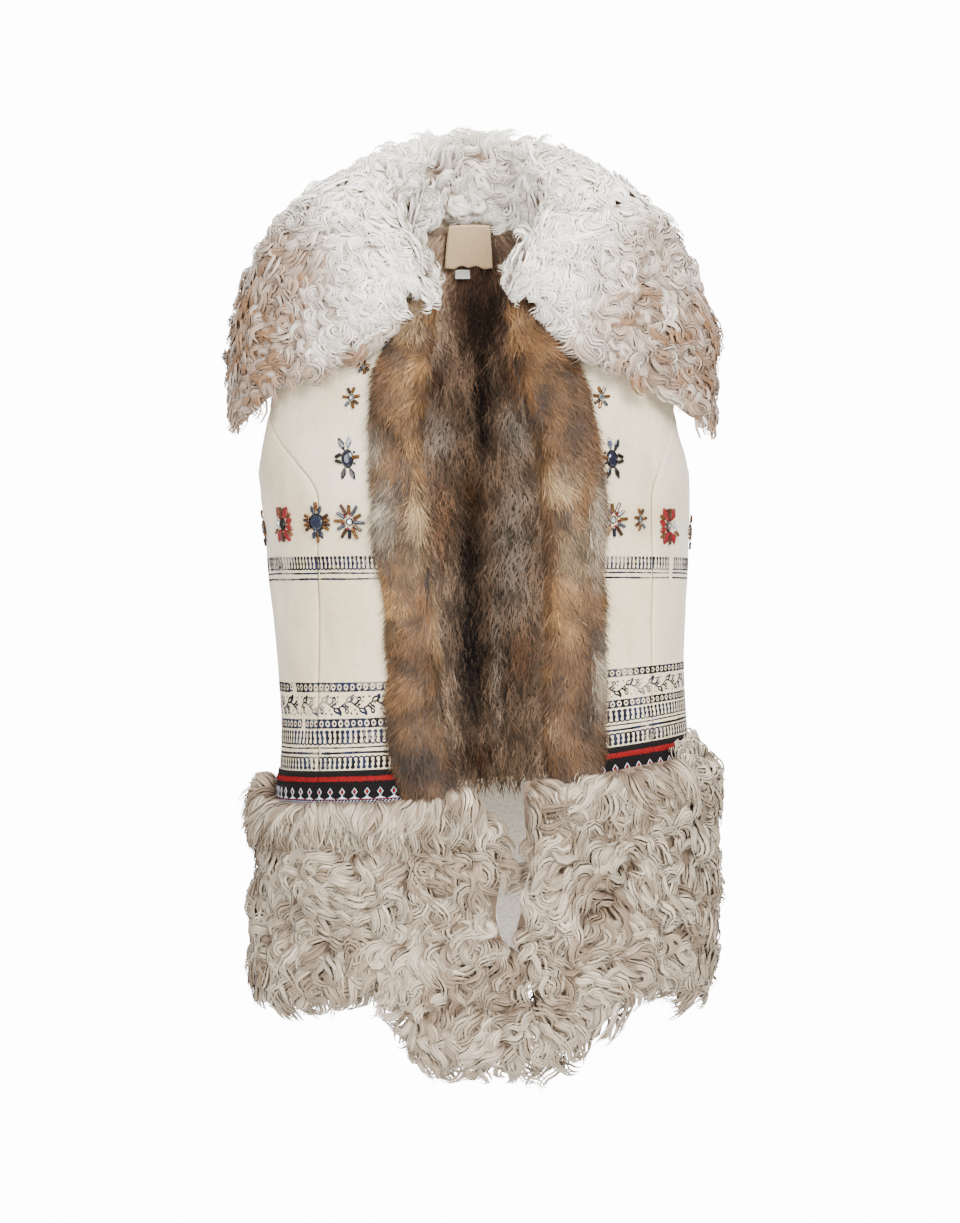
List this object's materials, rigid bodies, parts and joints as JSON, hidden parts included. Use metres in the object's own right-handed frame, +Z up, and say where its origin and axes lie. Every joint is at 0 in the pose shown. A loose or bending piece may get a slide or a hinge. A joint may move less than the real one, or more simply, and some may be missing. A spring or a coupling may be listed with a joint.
{
  "type": "embroidered shearling vest",
  "caption": "Long open-front shearling vest with curly lamb cape collar and hem band, straight fur lining, woven trim and bead stars, filled out as worn.",
  "frame": {"origin": "middle of the neck opening, at the height of the back neck seam", "axes": "+Z up towards the collar, the wearer faces -Y, the wearer's left is +X"},
  "size_m": [0.4783, 0.3341, 0.8654],
  "materials": {
    "cream_leather": "napped, block printed",
    "woven_trim": "woven tape with braid",
    "greige_curls": "curly lamb",
    "ivory_curls": "curly lamb",
    "rust_fur": "straight fur",
    "brown_fur": "straight fur",
    "tan_cloth": "woven cloth",
    "beads": "beads and stones"
  },
  "bodies": {
    "root": {"back_panel": "cream_leather", "right_front": "cream_leather", "right_side_front": "cream_leather", "left_front": "cream_leather", "left_side_front": "cream_leather", "trim_back": "woven_trim", "trim_right": "woven_trim", "trim_left": "woven_trim", "hem_back": "greige_curls", "hem_right": "greige_curls", "hem_left": "greige_curls", "collar_back": "ivory_curls", "collar_right": "ivory_curls", "collar_left": "ivory_curls", "facing_right": "rust_fur", "facing_left": "rust_fur", "lining_back": "brown_fur", "lining_right": "brown_fur", "lining_left": "brown_fur", "neck_label": "tan_cloth", "size_tab": "tan_cloth", "star_right_1": "beads", "star_right_2": "beads", "star_right_3": "beads", "star_right_4": "beads", "star_right_5": "beads", "star_right_6": "beads", "star_right_7": "beads", "star_left_1": "beads", "star_left_2": "beads", "star_left_3": "beads", "star_left_4": "beads", "star_left_5": "beads", "star_left_6": "beads", "star_left_7": "beads"}
  },
  "joints": []
}
